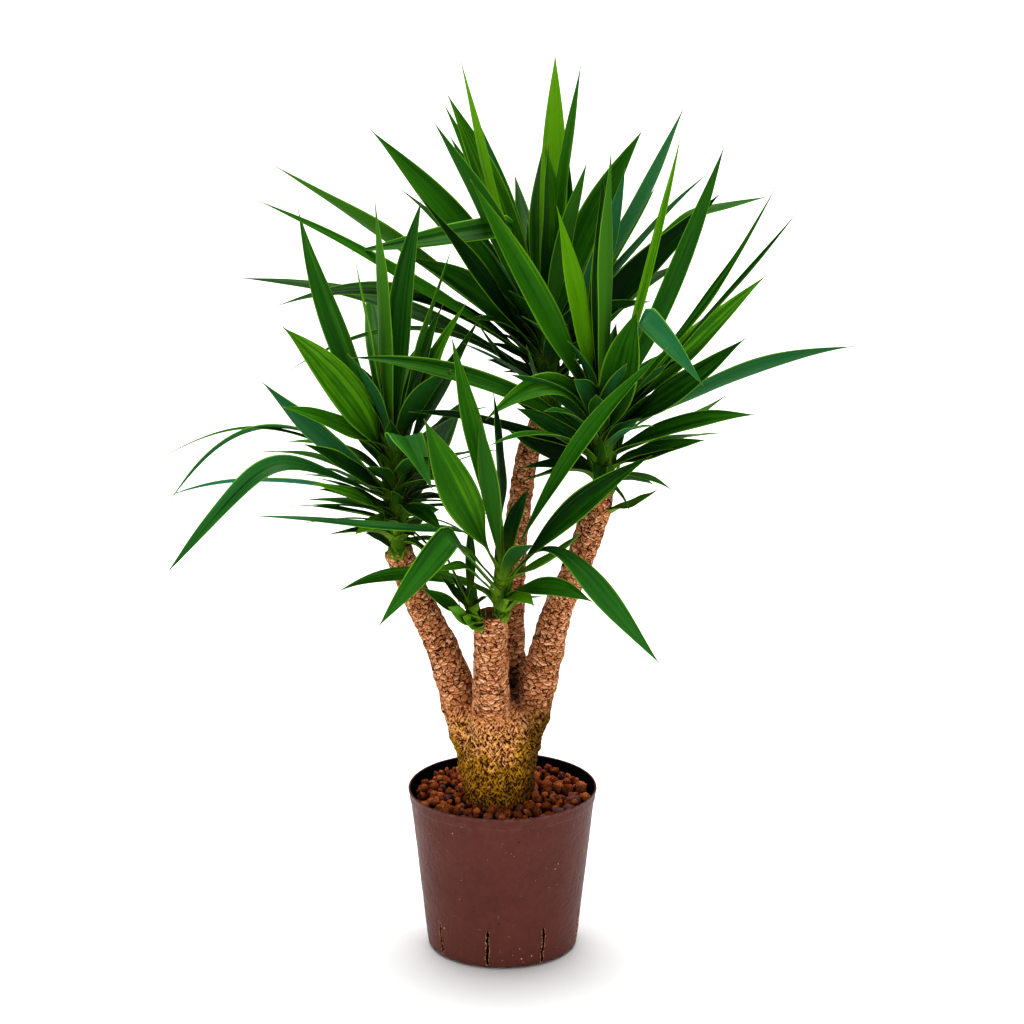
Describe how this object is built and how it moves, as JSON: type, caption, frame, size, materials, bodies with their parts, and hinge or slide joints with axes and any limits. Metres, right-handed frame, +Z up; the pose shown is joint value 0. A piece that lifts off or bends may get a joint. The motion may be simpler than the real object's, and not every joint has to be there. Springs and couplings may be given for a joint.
{
  "type": "potted yucca",
  "caption": "Cane yucca with leafy shoots on cut canes, standing in a brown plastic grow pot filled with baked clay granules.",
  "frame": {"origin": "centre of the pot's underside, on the surface that it stands on", "axes": "+Z up, along the plant's height; front of the plant towards -Y"},
  "size_m": [0.7975, 0.4963, 1.0401],
  "materials": {
    "pot_plastic": "satin brown grow pot plastic",
    "baked_clay": "rough baked clay pebbles",
    "bark": "rough cracked bark",
    "foliage": "waxy green leaf"
  },
  "bodies": {
    "root": {"pot": "pot_plastic", "granules": "baked_clay", "trunk": "bark", "head_left": "foliage", "head_front": "foliage", "head_front_small": "foliage", "head_right": "foliage", "head_back": "foliage"}
  },
  "joints": []
}
